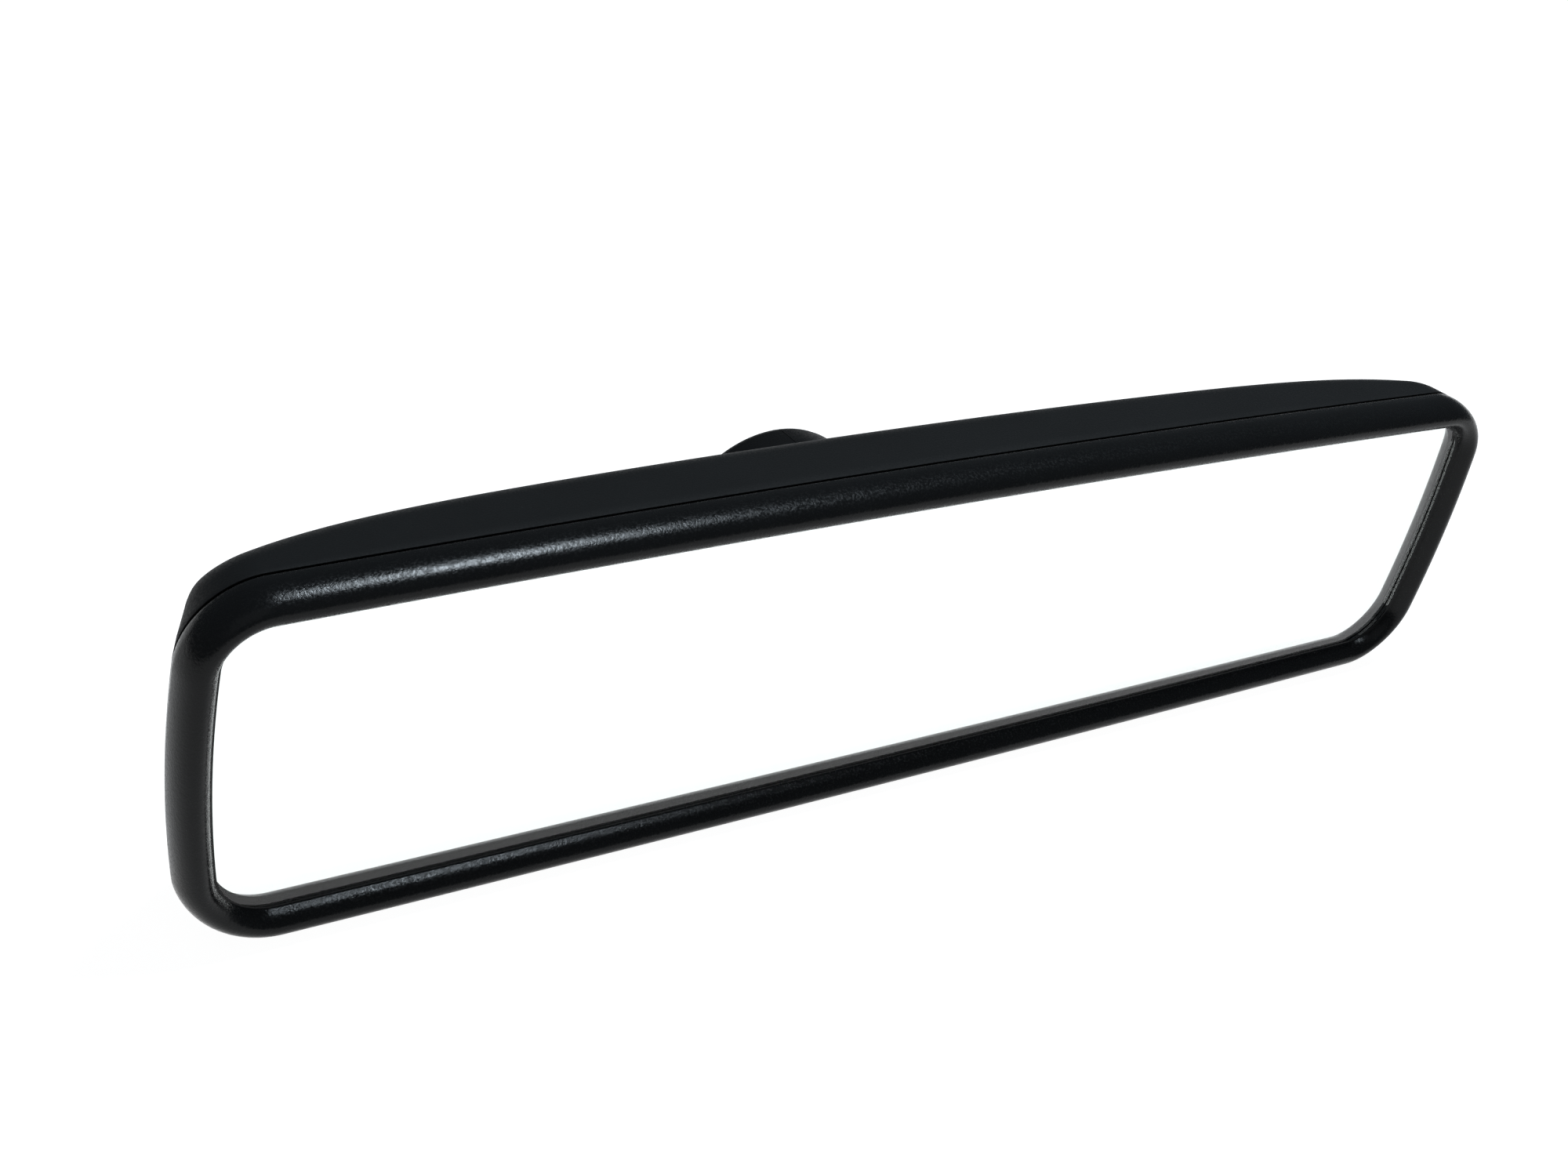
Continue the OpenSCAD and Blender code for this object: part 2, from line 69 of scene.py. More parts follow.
HALF_W = 120 * MM
HALF_H = 29.4 * MM
TOP_BOW = 1.6 * MM
BOTTOM_BOW = 0.7 * MM
SIDE_BOW = 2.4 * MM
TOP_CORNER = 11 * MM
BOTTOM_CORNER = 13 * MM

BAND_W = 5.6 * MM
BAND_FRONT = 4.8 * MM
BAND_BACK = 1.4 * MM
GLASS_FRONT = 2.2 * MM
GLASS_INSET = 3.75 * MM

WALL = 1.7 * MM
EDGE_DEPTH = 16.1 * MM
PILLOW = 9.2 * MM
PILLOW_POWER = 2.6
END_SWEEP = 3.5 * MM
END_DROP = 8.8 * MM
END_POWER = 8
LONG_DRAFT = math.tan(math.radians(5))
END_DRAFT = math.tan(math.radians(11))
END_CURL = 0.038 / MM
BACK_EDGE = 3.5 * MM
NECK_HOLE_R = 10.5 * MM

HOOK_X = [x * MM for x in (-90, -55, -20, 20, 55, 90)]
BOSS_R = 3.2 * MM
BOSS_FRONT = 3.7 * MM
CARRIER_SCREW_X = 84 * MM
CARRIER_SCREW_Z = 7.5 * MM

COVER_R = 19.5 * MM
COVER_MOUTH_R = 9.2 * MM
COVER_WALL = 1.6 * MM
COVER_RIB = 1 * MM

FOOT_R = 17.4 * MM
FOOT_T = 8 * MM
POCKET_R = 12.1 * MM
POCKET_DEPTH = 4 * MM
SPRING_R = 14.6 * MM
GROOVE_W = 1.7 * MM
GROOVE_DEPTH = 2.2 * MM
SPRING_TIP_ANGLE = math.radians(24)
ARM_SCREW_X = 8 * MM
SCREW_HOLE_R = 1.55 * MM
SCREW_SEAT_R = 3.0 * MM
SCREW_SINK = 1.7 * MM

BALL_R = 8 * MM
BALL_Y = 18 * MM
BOSS_Y = 33 * MM
NECK_R = 3.5 * MM
COLLAR_R = 5 * MM
SHANK_R = 3 * MM
SHANK_LEN = 6.6 * MM
ARM_BOSS_R = 7 * MM
ARM_PLATE_R = 14.5 * MM
ARM_PLATE_T = 3 * MM

# The scene's own: softened edges, a fillet on the glass, and a parting line that is wider than
# the CAD's, with a rebate under the shell's lip, so that the line reads dark
EDGE_R = 0.09 * MM
FILLET = 0.26 * MM
PARTING_GAP = 0.6 * MM
REBATE = 0.8 * MM

# The head's own frame: the middle of the outline, on the band's centre plane
bezel_low, bezel_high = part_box("bezel")
HEAD = Vector((0, bezel_low.y + BAND_FRONT, bezel_high.z - HALF_H - TOP_BOW))
# The foot's face lies SETBACK behind that frame, and the foot's middle lies DROP below the ball
JOINT = Vector(frame["joints"][0]["pos_m"])
SETBACK = -HEAD.y
DROP = JOINT.z


# ---------- camera ----------

def add_camera():
    """Looks down on the head from its left, a little rolled."""
    azimuth, drop, roll = (math.radians(a) for a in (37.28, 32.68, 11.87))
    aim = HEAD + Vector((-30.3 * MM, 0, 13.5 * MM))
    distance = 284.2 * MM
    turn = (
        Matrix.Rotation(-azimuth, 4, "Z")
        @ Matrix.Rotation(math.pi / 2 - drop, 4, "X")
        @ Matrix.Rotation(roll, 4, "Z")
    )
    data = bpy.data.cameras.new("camera")
    data.sensor_width = 36
    data.lens = 43.33
    data.clip_start = 0.01
    data.clip_end = 50
    camera = bpy.data.objects.new("camera", data)
    bpy.context.scene.collection.objects.link(camera)
    camera.matrix_world = Matrix.Translation(aim) @ turn @ Matrix.Translation((0, 0, distance))
    bpy.context.scene.camera = camera


# ---------- node helpers ----------

class Nodes:
    """A short way to write a node tree."""

    def __init__(self, tree):
        self.tree = tree

    def add(self, kind, inputs=None, **settings):
        """A node with its settings and the values or links of its inputs."""
        node = self.tree.nodes.new(kind)
        for key, value in settings.items():
            setattr(node, key, value)
        for key, value in (inputs or {}).items():
            self.put(node.inputs[key], value)
        return node

    def put(self, socket, value):
        """Links an output to a socket, or sets the socket's own value."""
        if isinstance(value, bpy.types.NodeSocket):
            self.tree.links.new(value, socket)
        else:
            socket.default_value = value

    def noise(self, where, size, detail=2.0, roughness=0.5):
        """Noise whose features are about size metres across."""
        node = self.add(
            "ShaderNodeTexNoise",
            {"Vector": where, "Scale": 1 / size, "Detail": detail, "Roughness": roughness},
        )
        return node.outputs["Fac"]

    def span(self, value, low, high, out_low, out_high):
        """Carries a value from one range to another, held at its ends."""
        node = self.add(
            "ShaderNodeMapRange",
            {
                "Value": value,
                "From Min": low,
                "From Max": high,
                "To Min": out_low,
                "To Max": out_high,
            },
            clamp=True,
        )
        return node.outputs["Result"]

    def blend(self, factor, first, second):
        """A mix of two colours; sockets 6, 7 and 2 are the node's colour ones."""
        node = self.add("ShaderNodeMix", data_type="RGBA")
        self.put(node.inputs["Factor"], factor)
        self.put(node.inputs[6], first)
        self.put(node.inputs[7], second)
        return node.outputs[2]

    def two_tones(self, mask, low, high, first, second):
        """Goes from one colour to another as a mask rises from low to high."""
        return self.blend(self.span(mask, low, high, 0, 1), (*first, 1), (*second, 1))

    def bump(self, height, distance, strength=1.0, below=None):
        """A normal from a height, laid over another bump if one is given."""
        inputs = {"Height": height, "Distance": distance, "Strength": strength}
        if below is not None:
            inputs["Normal"] = below
        return self.add("ShaderNodeBump", inputs).outputs["Normal"]


def new_material(name, colour, metallic=0.0, ior=1.5):
    """A material with its Principled shader, its node helper and its object coordinates."""
    material = bpy.data.materials.new(name)
    material.use_nodes = True
    nodes = Nodes(material.node_tree)
    shader = material.node_tree.nodes["Principled BSDF"]
    shader.inputs["Base Color"].default_value = (*colour, 1)
    shader.inputs["Metallic"].default_value = metallic
    shader.inputs["IOR"].default_value = ior
    material.diffuse_color = (*colour, 1)
    where = nodes.add("ShaderNodeTexCoord").outputs["Object"]
    return material, nodes, shader, where


def moulded_plastic(name, colour, light, rough, grain, relief, ior):
    """Moulded plastic: spark-eroded grain that also varies the gloss, and a little pale dust."""
    material, n, shader, where = new_material(name, colour, ior=ior)
    cloud = n.noise(where, 14 * MM, 3)
    dust = n.noise(where, 0.55 * MM, 4, 0.7)
    fleck = n.span(dust, 0.66, 0.74, 0, 0.12)
    base = n.two_tones(cloud, 0.3, 0.7, colour, light)
    dusty = n.blend(fleck, base, (0.06, 0.064, 0.066, 1))
    n.put(shader.inputs["Base Color"], dusty)
    fine = n.noise(where, grain, 3, 0.6)
    n.put(shader.inputs["Roughness"], n.span(fine, 0.36, 0.64, rough - 0.08, rough + 0.14))
    broad = n.noise(where, 4 * grain, 2)
    low = n.bump(broad, 0.5 * relief, 0.5)
    n.put(shader.inputs["Normal"], n.bump(fine, relief, 1.0, low))
    return material


def cast_metal(name, colour, rough):
    """Die-cast zinc: soft lumps, a tumbled skin and dull patches."""
    material, n, shader, where = new_material(name, colour, metallic=1.0)
    patch = n.noise(where, 5 * MM, 4)
    dull = tuple(0.72 * c for c in colour)
    n.put(shader.inputs["Base Color"], n.two_tones(patch, 0.35, 0.7, colour, dull))
    skin = n.noise(where, 0.5 * MM, 4, 0.65)
    n.put(shader.inputs["Roughness"], n.span(skin, 0.3, 0.7, rough - 0.08, rough + 0.12))
    lumps = n.bump(n.noise(where, 2.2 * MM, 2), 0.03 * MM, 0.5)
    n.put(shader.inputs["Normal"], n.bump(skin, 0.015 * MM, 0.7, lumps))
    return material


def turned_steel(name, colour, rough):
    """Plated steel: fine turning marks round the Y axis and a faint mottle."""
    material, n, shader, where = new_material(name, colour, metallic=1.0)
    marks = n.add(
        "ShaderNodeTexWave",
        {"Vector": where, "Scale": 900.0, "Distortion": 1.5, "Detail": 2.0},
        bands_direction="Y",
    ).outputs["Fac"]
    mottle = n.noise(where, 1.6 * MM, 4)
    deep = tuple(0.8 * c for c in colour)
    n.put(shader.inputs["Base Color"], n.two_tones(mottle, 0.35, 0.65, colour, deep))
    n.put(shader.inputs["Roughness"], n.span(mottle, 0.3, 0.7, rough - 0.05, rough + 0.08))
    n.put(shader.inputs["Normal"], n.bump(marks, 0.003 * MM, 0.5))
    return material


def natural_nylon(name, colour):
    """Natural nylon: waxy, a little light passing under the skin, faint flow marks."""
    material, n, shader, where = new_material(name, colour, ior=1.53)
    shader.inputs["Subsurface Weight"].default_value = 0.15
    shader.inputs["Subsurface Scale"].default_value = 1 * MM
    flow = n.noise(where, 2 * MM, 3)
    warm = (colour[0], 0.94 * colour[1], 0.82 * colour[2])
    n.put(shader.inputs["Base Color"], n.two_tones(flow, 0.3, 0.7, colour, warm))
    n.put(shader.inputs["Roughness"], n.span(flow, 0.3, 0.7, 0.34, 0.46))
    n.put(shader.inputs["Normal"], n.bump(n.noise(where, 0.4 * MM, 3), 0.006 * MM, 0.6))
    return material


def foam_tape(name, colour):
    """Closed-cell foam: round cells and a soft, dull skin."""
    material, n, shader, where = new_material(name, colour)
    cells = n.add("ShaderNodeTexVoronoi", {"Vector": where, "Scale": 2600.0}).outputs["Distance"]
    pale = tuple(2.2 * c for c in colour)
    n.put(shader.inputs["Base Color"], n.two_tones(cells, 0.1, 0.7, colour, pale))
    shader.inputs["Roughness"].default_value = 0.92
    n.put(shader.inputs["Normal"], n.bump(cells, 0.06 * MM, 0.8))
    return material


def silvering(name):
    """The silver layer: a near-perfect mirror with the faintest haze."""
    material, n, shader, where = new_material(name, (0.97, 0.975, 0.97), metallic=1.0)
    haze = n.noise(where, 22 * MM, 4)
    n.put(shader.inputs["Roughness"], n.span(haze, 0.3, 0.75, 0.0, 0.018))
    tint = n.blend(haze, (0.975, 0.98, 0.975, 1), (0.965, 0.972, 0.968, 1))
    n.put(shader.inputs["Base Color"], tint)
    return material


def float_glass(name):
    """Clear float glass with its green tint and a breath of haze."""
    material, n, shader, where = new_material(name, (0.985, 0.997, 0.99), ior=1.52)
    shader.inputs["Transmission Weight"].default_value = 1.0
    smear = n.noise(where, 30 * MM, 5, 0.6)
    n.put(shader.inputs["Roughness"], n.span(smear, 0.45, 0.8, 0.0, 0.02))
    return material


def pale_floor():
    """A table top that glows, so that it looks plain white, with a faint paper tooth."""
    material, n, shader, where = new_material("floor_paper", (0.25, 0.25, 0.25))
    tooth = n.noise(where, 0.9 * MM, 4)
    tone = n.noise(where, 180 * MM, 3)
    n.put(shader.inputs["Base Color"], n.blend(tone, (0.24, 0.24, 0.24, 1), (0.26, 0.26, 0.26, 1)))
    shader.inputs["Roughness"].default_value = 0.9
    shader.inputs["Specular IOR Level"].default_value = 0.2
    shader.inputs["Emission Color"].default_value = (1.0, 1.0, 1.0, 1)
    shader.inputs["Emission Strength"].default_value = 0.97
    n.put(shader.inputs["Normal"], n.bump(tooth, 0.02 * MM, 0.3))
    return material


BEZEL_PLASTIC = moulded_plastic(
    "bezel_plastic", (0.0056, 0.0059, 0.0062), (0.0066, 0.0070, 0.0074),
    rough=0.19, grain=0.40 * MM, relief=0.034 * MM, ior=1.23,
)
SHELL_PLASTIC = moulded_plastic(
    "shell_plastic", (0.0055, 0.0059, 0.0062), (0.0066, 0.0071, 0.0075),
    rough=0.60, grain=0.34 * MM, relief=0.012 * MM, ior=1.26,
)
COVER_PLASTIC = moulded_plastic(
    "cover_plastic", (0.0030, 0.0031, 0.0033), (0.0038, 0.0040, 0.0042),
    rough=0.52, grain=0.34 * MM, relief=0.020 * MM, ior=1.24,
)
INNER_PLASTIC = moulded_plastic(
    "inner_plastic", (0.020, 0.020, 0.021), (0.028, 0.028, 0.029),
    rough=0.55, grain=0.5 * MM, relief=0.012 * MM, ior=1.5,
)
FILM = moulded_plastic(
    "film", (0.030, 0.031, 0.034), (0.036, 0.037, 0.040),
    rough=0.30, grain=0.8 * MM, relief=0.002 * MM, ior=1.5,
)
ZINC = cast_metal("zinc", (0.46, 0.47, 0.49), 0.42)
STEEL = turned_steel("steel", (0.56, 0.57, 0.59), 0.28)
NYLON = natural_nylon("nylon", (0.74, 0.71, 0.63))
FOAM = foam_tape("foam", (0.018, 0.018, 0.019))
SILVER = silvering("silver_coating")
GLASS = float_glass("float_glass")

SLOT_MATERIALS = {
    "bezel_plastic": BEZEL_PLASTIC,
    "shell_plastic": SHELL_PLASTIC,
    "inner_plastic": INNER_PLASTIC,
    "film": FILM,
    "foam": FOAM,
    "nylon": NYLON,
    "steel": STEEL,
    "zinc": ZINC,
    "mirror": SILVER,
}


# ---------- mesh helpers ----------

def shade(mesh):
    """Turns the faces outward and shades them smooth, with sharp edges above an angle."""
    limit = math.radians(40)
    bm = bmesh.new()
    bm.from_mesh(mesh)
    bmesh.ops.recalc_face_normals(bm, faces=bm.faces)
    for face in bm.faces:
        face.smooth = True
    for edge in bm.edges:
        edge.smooth = len(edge.link_faces) != 2 or edge.calc_face_angle(0) <= limit
    bm.to_mesh(mesh)
    bm.free()


def mesh_object(name, points, faces, material):
    """A shaded mesh piece from points and faces."""
    mesh = bpy.data.meshes.new(name)
    mesh.from_pydata([tuple(p) for p in points], [], faces)
    mesh.validate()
    shade(mesh)
    mesh.materials.append(material)
    piece = bpy.data.objects.new(name, mesh)
    bpy.context.scene.collection.objects.link(piece)
    return piece


def ring_faces(rings, count, steps):
    """Quads from ring to ring over a number of steps; the ring after the last is the first."""
    faces = []
    for i in range(steps):
        k = (i + 1) % rings
        for j in range(count):
            m = (j + 1) % count
            faces.append((i * count + j, i * count + m, k * count + m, k * count + j))
    return faces


def loft(rings):
    """A closed loop of closed rings, as points and faces."""
    return np.concatenate(rings), ring_faces(len(rings), len(rings[0]), len(rings))


def capped(rings):
    """A run of closed rings with a flat face at each end, as points and faces."""
    count = len(rings[0])
    last = (len(rings) - 1) * count
    faces = ring_faces(len(rings), count, len(rings) - 1)
    faces.append(tuple(range(count)))
    faces.append(tuple(last + j for j in reversed(range(count))))
    return np.concatenate(rings), faces


def join_parts(*parts):
    """Several (points, faces) parts as one."""
    points, faces, start = [], [], 0
    for part_points, part_faces in parts:
        points.append(np.asarray(part_points, float))
        faces += [tuple(start + i for i in face) for face in part_faces]
        start += len(part_points)
    return np.concatenate(points), faces


def rounded(profile, radius, steps=4):
    """An open run of points with its inner corners rounded."""
    points = [np.array(p, float) for p in profile]
    out = [points[0]]
    for before, corner, after in zip(points, points[1:], points[2:]):
        into, away = before - corner, after - corner
        reach = min(radius, 0.45 * np.linalg.norm(into), 0.45 * np.linalg.norm(away))
        start = corner + into / np.linalg.norm(into) * reach
        end = corner + away / np.linalg.norm(away) * reach
        for t in np.linspace(0, 1, steps + 1):
            out.append((1 - t) ** 2 * start + 2 * t * (1 - t) * corner + t * t * end)
    return out + [points[-1]]


def lathe(profile, x, z, count=96):
    """A closed solid turned round an axis along Y from (radius, y) points."""
    angle = np.linspace(0, 2 * math.pi, count, endpoint=False)
    return capped([
        np.stack([x + r * np.cos(angle), np.full(count, y), z + r * np.sin(angle)], 1)
        for r, y in profile
    ])


def drum(radius, y0, y1, x, z, edge):
    """A closed round post along Y with rounded ends, as points and faces."""
    core = radius / 2
    return lathe(rounded([(core, y0), (radius, y0), (radius, y1), (core, y1)], edge), x, z)


def block(low, high, edge):
    """A closed box with chamfered edges along X, as points and faces."""
    (x0, y0, z0), (x1, y1, z1) = low, high
    section = [
        (y0 + edge, z0), (y1 - edge, z0), (y1, z0 + edge), (y1, z1 - edge),
        (y1 - edge, z1), (y0 + edge, z1), (y0, z1 - edge), (y0, z0 + edge),
    ]
    return capped([np.array([(x, y, z) for y, z in section]) for x in (x0, x1)])


# ---------- the head's outline ----------

def outline_rays(corner_steps, long_steps, end_steps):
    """Rays round the outline, anticlockwise from the right: corner centre, direction, radius."""
    rays = []

    def corner(sx, sz, radius, start):
        """A quarter turn about one corner's centre."""
        for i in range(corner_steps + 1):
            angle = start + math.pi / 2 * i / corner_steps
            rays.append((sx * (HALF_W - radius), sz * (HALF_H - radius), angle, radius))

    def edge(start, end, angle, radius, steps):
        """Parallel rays between two corner centres, without the first and the last."""
        for i in range(1, steps):
            t = i / steps
            rays.append((
                start[0] + (end[0] - start[0]) * t,
                start[1] + (end[1] - start[1]) * t,
                angle,
                radius,
            ))

    top_x, top_z = HALF_W - TOP_CORNER, HALF_H - TOP_CORNER
    low_x, low_z = HALF_W - BOTTOM_CORNER, HALF_H - BOTTOM_CORNER
    quarter = math.pi / 2
    corner(1, 1, TOP_CORNER, 0)
    edge((top_x, top_z), (-top_x, top_z), quarter, TOP_CORNER, long_steps)
    corner(-1, 1, TOP_CORNER, quarter)
    edge((-top_x, top_z), (-top_x, -low_z), 2 * quarter, TOP_CORNER, end_steps)
    corner(-1, -1, BOTTOM_CORNER, 2 * quarter)
    edge((-low_x, -low_z), (low_x, -low_z), 3 * quarter, BOTTOM_CORNER, long_steps)
    corner(1, -1, BOTTOM_CORNER, 3 * quarter)
    edge((top_x, -low_z), (top_x, top_z), 0, TOP_CORNER, end_steps)
    return np.array(rays)


RAYS = outline_rays(corner_steps=22, long_steps=72, end_steps=18)
RAY_COS = np.cos(RAYS[:, 2])
RAY_SIN = np.sin(RAYS[:, 2])
# 1 on the ends and 0 on the long edges, with a quick change round the corners
END = np.abs(RAY_COS) ** 5
DRAFT = LONG_DRAFT * (1 - END) + END_DRAFT * END


def outline(inset):
    """x and z of the outline at an inset, bowed out on all four sides."""
    x = RAYS[:, 0] + (RAYS[:, 3] - inset) * RAY_COS
    z = RAYS[:, 1] + (RAYS[:, 3] - inset) * RAY_SIN
    bow = np.where(z > 0, TOP_BOW, BOTTOM_BOW) / HALF_H
    bowed_x = x * (1 + SIDE_BOW / HALF_W * (1 - (z / HALF_H) ** 2))
    bowed_z = z * (1 + bow * (1 - (x / HALF_W) ** 2))
    return bowed_x, bowed_z


def edge_height(x, side, inset):
    """z of the outline's long edge at x, above (1) or below (-1)."""
    bow = TOP_BOW if side > 0 else BOTTOM_BOW
    return side * (HALF_H - inset) * (1 + bow / HALF_H * (1 - (x / HALF_W) ** 2))


def ring(inset, depth):
    """One ring of points in the head's frame."""
    x, z = outline(inset)
    return np.stack([x, np.broadcast_to(depth, x.shape), z], 1)


def wall_ring(inset, depth):
    """One ring on a wall that leans in with depth: a steady draft, and a curl near the ends."""
    x, z = outline(inset + DRAFT * depth)
    curled = x - np.sign(x) * END_CURL * END * depth ** 2
    return np.stack([curled, np.broadcast_to(depth, x.shape), z], 1)


def plate(inset, front, back, edge):
    """A flat plate with the head's outline and softened edges, as points and faces."""
    return capped([
        ring(inset + edge, front),
        ring(inset, front + edge),
        ring(inset, back - edge),
        ring(inset + edge, back),
    ])


def head_piece(name, part, material, nodes, body="head"):
    """Places a (points, faces) part in the head's frame as a piece that replaces CAD nodes."""
    points, faces = part
    piece = mesh_object(name, np.asarray(points) + np.array(HEAD), faces, material)
    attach(piece, body)
    if nodes:
        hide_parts(*nodes)
    return piece


# ---------- bezel ----------

def bezel_rings():
    """Rings round the band: outer wall, rounded front, fillet on the glass, pocket and tongue."""
    half = BAND_W / 2
    inner_half = 2.62 * MM
    last = math.pi - math.asin((GLASS_FRONT + FILLET) / BAND_FRONT)
    rings = [
        wall_ring(EDGE_R * (1 - math.sin(a)), BAND_BACK - EDGE_R * (1 - math.cos(a)))
        for a in np.linspace(0, math.pi / 2, 4)
    ]
    rings.append(wall_ring(0, BAND_BACK / 2))
    for a in np.linspace(0, last, 44):
        across = half if a < math.pi / 2 else inner_half
        rings.append(ring(half - across * math.cos(a), -BAND_FRONT * math.sin(a)))
    seat = -GLASS_FRONT - 0.02 * MM
    # The fillet runs from the band's lip round a bend to its toe on the glass
    lip = (half - inner_half * math.cos(last), -GLASS_FRONT - FILLET)
    bend = (lip[0] + 0.1 * MM, seat)
    toe = (bend[0] + FILLET, seat)
    for t in np.linspace(0, 1, 6)[1:]:
        weights = ((1 - t) ** 2, 2 * t * (1 - t), t * t)
        u, y = (sum(w * p[k] for w, p in zip(weights, (lip, bend, toe))) for k in (0, 1))
        rings.append(ring(u, y))
    pocket = GLASS_INSET - 0.15 * MM
    tongue = WALL + 1.2 * MM
    back = BAND_BACK + 1.2 * MM
    soft = 0.15 * MM
    inside = [
        (toe[0], seat + 0.01 * MM),
        (pocket + 0.3 * MM, seat + 0.01 * MM),
        (pocket, seat + 0.1 * MM),
        (pocket, back - soft),
        (pocket - soft, back),
        (tongue + soft, back),
        (tongue, back - soft),
        (tongue, BAND_BACK),
    ]
    return rings + [ring(u, y) for u, y in inside]


def build_bezel():
    """The band with its snap hooks."""
    band = loft(bezel_rings())
    start = BAND_BACK + 0.8 * MM
    hook_w, hook_len, hook_t = 8 * MM, 5 * MM, 1 * MM
    hooks = []
    for x in HOOK_X:
        for side in (-1, 1):
            left = x - hook_w / 2
            low = edge_height(x, side, GLASS_INSET - 0.1 * MM) - hook_t / 2
            hooks.append(block(
                (left, start, low), (left + hook_w, start + hook_len, low + hook_t), 0.2 * MM
            ))
    head_piece("bezel_skin", join_parts(band, *hooks), BEZEL_PLASTIC, ["bezel"])


# ---------- rear shell ----------

SHELL_START = BAND_BACK + PARTING_GAP


def back_at(x, z):
    """Depth of the shell's back at a place on the head."""
    return (
        EDGE_DEPTH
        + PILLOW * (1 - np.minimum(1.2, np.abs(z) / HALF_H) ** PILLOW_POWER)
        - END_SWEEP * (x / HALF_W) ** 2
        - END_DROP * (np.abs(x) / HALF_W) ** END_POWER
    )


def shell_skin(skin, edge, steps, spread):
    """Rings of one skin of the shell, from the parting line to the neck's opening."""
    # Where each wall meets the back, found in repeated steps from a first guess
    deep = np.full(len(RAYS), 12 * MM)
    for _ in range(24):
        x, _, z = wall_ring(skin, deep).T
        deep = (deep + back_at(x, z) - skin) / 2
    x_end, _, z_end = wall_ring(skin + edge, deep).T
    angle = np.arctan2(z_end / HALF_H, x_end / HALF_W)

    def back(s):
        """A ring on the back: 0 at the neck's opening, 1 at the edge."""
        x = NECK_HOLE_R * np.cos(angle) * (1 - s) + x_end * s
        z = NECK_HOLE_R * np.sin(angle) * (1 - s) + z_end * s
        return np.stack([x, back_at(x, z) - skin, z], 1)

    start, knee, end = wall_ring(skin, deep - edge), wall_ring(skin, deep), back(1)
    rings = []
    for t in np.linspace(0, 1, 5)[:-1]:
        rings.append(wall_ring(skin, SHELL_START + (deep - edge - SHELL_START) * t))
    for t in np.linspace(0, 1, steps + 1):
        rings.append((1 - t) ** 2 * start + 2 * t * (1 - t) * knee + t * t * end)
    for s in spread:
        rings.append(back(s))
    return rings


def build_shell():
    """The casing with its front lip, its opening for the neck, and its screw bosses."""
    outer = shell_skin(0, BACK_EDGE, 12, np.linspace(1, 0, 26)[1:])
    inner = shell_skin(WALL, BACK_EDGE - WALL, 4, np.linspace(1, 0, 9)[1:])
    outer[:1] = [
        wall_ring(EDGE_R, SHELL_START),
        wall_ring(0.3 * EDGE_R, SHELL_START + 0.3 * EDGE_R),
        wall_ring(0, SHELL_START + EDGE_R),
    ]
    inner[:1] = [
        wall_ring(REBATE + EDGE_R, SHELL_START + REBATE),
        wall_ring(WALL, SHELL_START + REBATE + 0.1 * MM),
    ]
    # The opening's rim turns inward on a small radius
    rim = outer.pop()
    radial = rim * np.array([1, 0, 1])
    radial /= np.linalg.norm(radial, axis=1)[:, None]
    lip = 0.6 * MM
    for a in np.linspace(0, math.pi / 2, 6):
        inward = np.array([0, -lip * (1 - math.cos(a)), 0])
        outer.append(rim + radial * lip * (1 - math.sin(a)) + inward)
    boss_end = float(back_at(CARRIER_SCREW_X, CARRIER_SCREW_Z) - 0.6 * WALL)
    bosses = [
        drum(BOSS_R, BOSS_FRONT, boss_end, x, z, 0.2 * MM)
        for x in (-CARRIER_SCREW_X, CARRIER_SCREW_X)
        for z in (-CARRIER_SCREW_Z, CARRIER_SCREW_Z)
    ]
    shell = join_parts(loft(outer[::-1] + inner), *bosses)
    head_piece("shell_skin", shell, SHELL_PLASTIC, ["rear_shell"])


# ---------- glass ----------

def build_glass():
    """A clear pane with the silver layer just behind it."""
    silver_back = -0.01 * MM
    silver_front = -0.04 * MM
    pane = plate(GLASS_INSET, -GLASS_FRONT, silver_front - 0.01 * MM, 0.25 * MM)
    coat = plate(GLASS_INSET + 0.3 * MM, silver_front, silver_back, 0.01 * MM)
    head_piece("glass_pane", pane, GLASS, ["mirror_glass"])
    head_piece("silver_coat", coat, SILVER, [])


# ---------- foot cover ----------

def cover_profile():
    """Closed section of the cover as depth, radius and drop: rim, dome, inside and snap rib."""
    front = JOINT.y + SETBACK + 16 * MM
    widest = SETBACK - 7 * MM
    end = SETBACK - 0.6 * MM
    inner = COVER_R - COVER_WALL
    rib = widest + 1.5 * MM
    crest = FOOT_R - 0.5 * MM

    def dome(skin):
        """Rows from the mouth to the widest part, at a depth below the outer face."""
        rows = []
        for i, a in enumerate(np.linspace(0, math.pi / 2, 25)):
            # Both faces start level with the mouth
            deep = skin * math.cos(a) if i else 0
            rows.append((
                front + (widest - front) * (1 - math.cos(a)) + deep,
                COVER_MOUTH_R + (COVER_R - COVER_MOUTH_R) * math.sin(a) - skin,
                DROP * math.sin(a),
            ))
        return rows

    rim = [
        (end, inner, DROP),
        (end, COVER_R - 1 * MM, DROP),
        (end - 0.3 * MM, COVER_R - 0.65 * MM, DROP),
        (end - 1.2 * MM, COVER_R - 0.35 * MM, DROP),
    ]
    snap = [
        (rib, inner, DROP),
        (rib, crest, DROP),
        (rib + COVER_RIB, crest, DROP),
        (rib + COVER_RIB, inner, DROP),
    ]
    return rim + dome(0)[::-1] + dome(COVER_WALL) + snap


